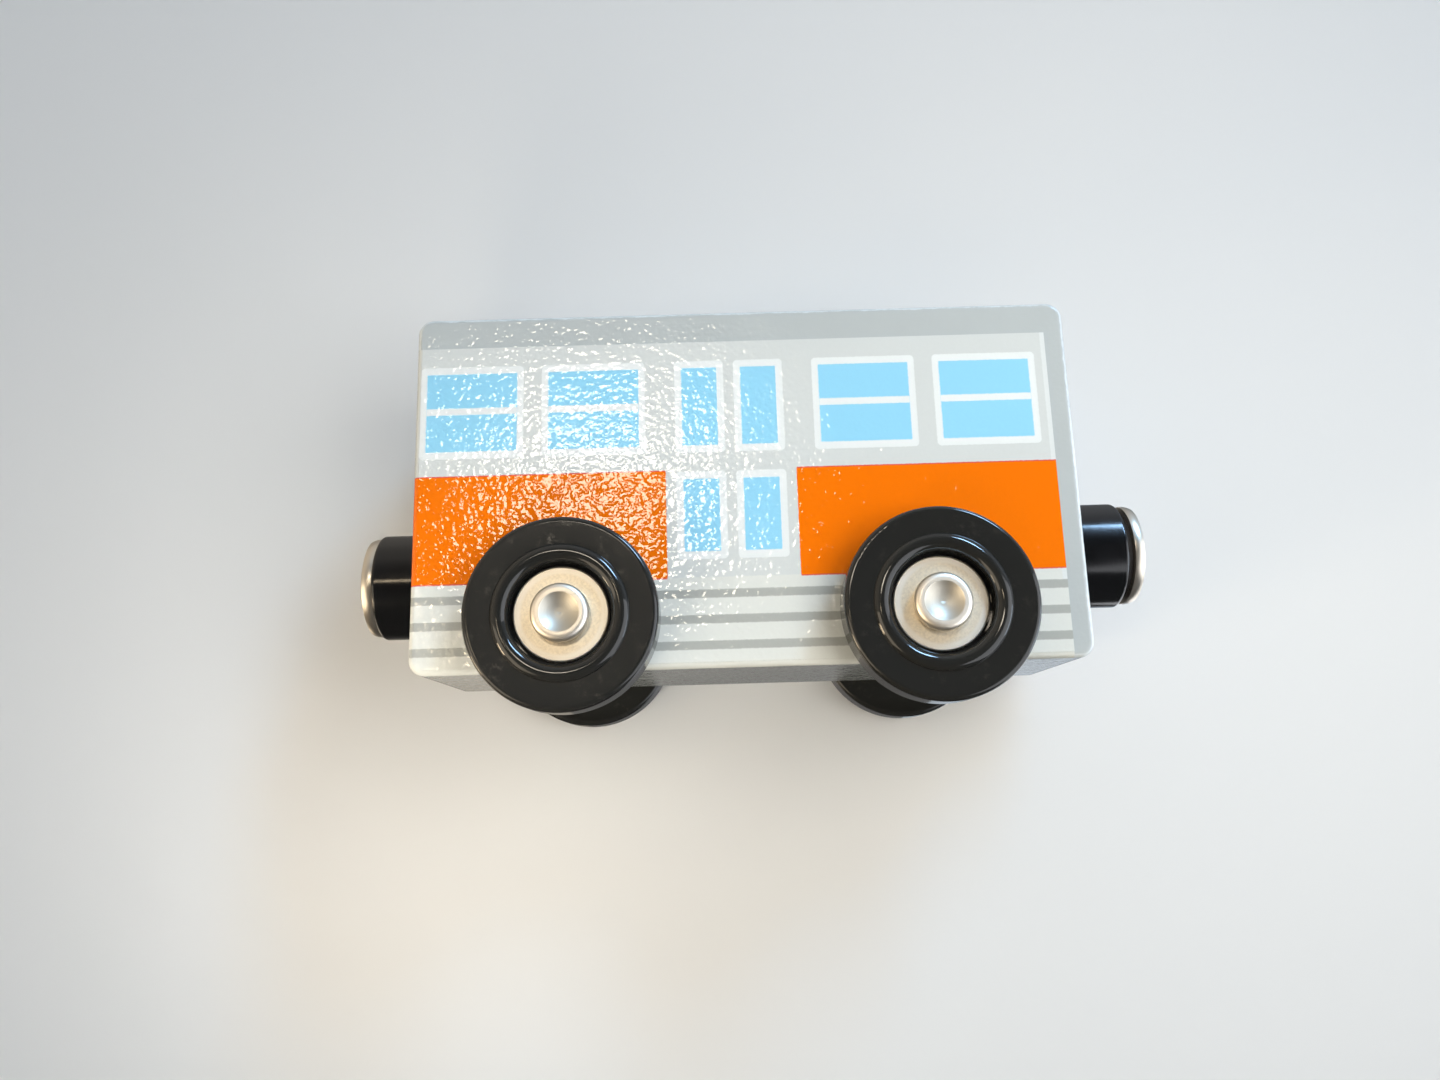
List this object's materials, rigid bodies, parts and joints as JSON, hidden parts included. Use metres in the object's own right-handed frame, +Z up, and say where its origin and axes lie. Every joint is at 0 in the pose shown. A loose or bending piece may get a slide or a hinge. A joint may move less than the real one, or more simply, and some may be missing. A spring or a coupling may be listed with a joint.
{
  "type": "wooden toy train car",
  "caption": "Painted wooden block passenger car on free-turning plastic wheels, with a floating, swivelling magnet coupler at each end, for grooved toy track.",
  "frame": {"origin": "on the track surface under the middle of the car, midway between the axles", "axes": "+X along the car to the right in the picture, +Y across the car away from the pictured side, +Z up"},
  "size_m": [0.0893, 0.0328, 0.0443],
  "materials": {
    "painted_wood": "pale grey paint, satin",
    "printed_film": "glossy lacquered print",
    "nickel_steel": "bright nickel plate",
    "black_wheel_plastic": "satin moulded",
    "black_housing_plastic": "glossy moulded",
    "magnet_iron": "dull sintered"
  },
  "bodies": {
    "car_body": {"body_block": "painted_wood", "side_print_near": "printed_film", "side_print_far": "printed_film", "coupler_housing_left": "black_housing_plastic", "coupler_housing_right": "black_housing_plastic"},
    "left_axle_set": {"axle_left": "nickel_steel", "washer_left_near": "nickel_steel", "washer_left_far": "nickel_steel"},
    "right_axle_set": {"axle_right": "nickel_steel", "washer_right_near": "nickel_steel", "washer_right_far": "nickel_steel"},
    "left_near_wheel": {"wheel_left_near": "black_wheel_plastic"},
    "left_far_wheel": {"wheel_left_far": "black_wheel_plastic"},
    "right_near_wheel": {"wheel_right_near": "black_wheel_plastic"},
    "right_far_wheel": {"wheel_right_far": "black_wheel_plastic"},
    "left_coupler_pin": {"coupler_pin_left": "nickel_steel"},
    "right_coupler_pin": {"coupler_pin_right": "nickel_steel"},
    "left_coupler_head": {"coupler_magnet_left": "magnet_iron", "coupler_cap_left": "nickel_steel"},
    "right_coupler_head": {"coupler_magnet_right": "magnet_iron", "coupler_cap_right": "nickel_steel"}
  },
  "joints": [
    {"name": "left_axle_turn", "type": "hinge", "parent": "car_body", "child": "left_axle_set", "pos_m": [-0.01935, 0, 0.01], "axis": [0, 1, 0], "continuous": true},
    {"name": "right_axle_turn", "type": "hinge", "parent": "car_body", "child": "right_axle_set", "pos_m": [0.01935, 0, 0.01], "axis": [0, 1, 0], "continuous": true},
    {"name": "left_near_wheel_roll", "type": "hinge", "parent": "left_axle_set", "child": "left_near_wheel", "pos_m": [-0.01935, -0.0135, 0.01], "axis": [0, 1, 0], "continuous": true},
    {"name": "left_far_wheel_roll", "type": "hinge", "parent": "left_axle_set", "child": "left_far_wheel", "pos_m": [-0.01935, 0.0135, 0.01], "axis": [0, 1, 0], "continuous": true},
    {"name": "right_near_wheel_roll", "type": "hinge", "parent": "right_axle_set", "child": "right_near_wheel", "pos_m": [0.01935, -0.0135, 0.01], "axis": [0, 1, 0], "continuous": true},
    {"name": "right_far_wheel_roll", "type": "hinge", "parent": "right_axle_set", "child": "right_far_wheel", "pos_m": [0.01935, 0.0135, 0.01], "axis": [0, 1, 0], "continuous": true},
    {"name": "left_coupler_float", "type": "slide", "parent": "car_body", "child": "left_coupler_pin", "axis": [-1, 0, 0], "range_m": [0, 0.0007]},
    {"name": "right_coupler_float", "type": "slide", "parent": "car_body", "child": "right_coupler_pin", "axis": [1, 0, 0], "range_m": [-0.0007, 0]},
    {"name": "left_coupler_spin", "type": "hinge", "parent": "left_coupler_pin", "child": "left_coupler_head", "pos_m": [-0.04175, 0, 0.0158], "axis": [-1, 0, 0], "continuous": true},
    {"name": "right_coupler_spin", "type": "hinge", "parent": "right_coupler_pin", "child": "right_coupler_head", "pos_m": [0.0432, 0, 0.0172], "axis": [1, 0, 0], "continuous": true}
  ]
}
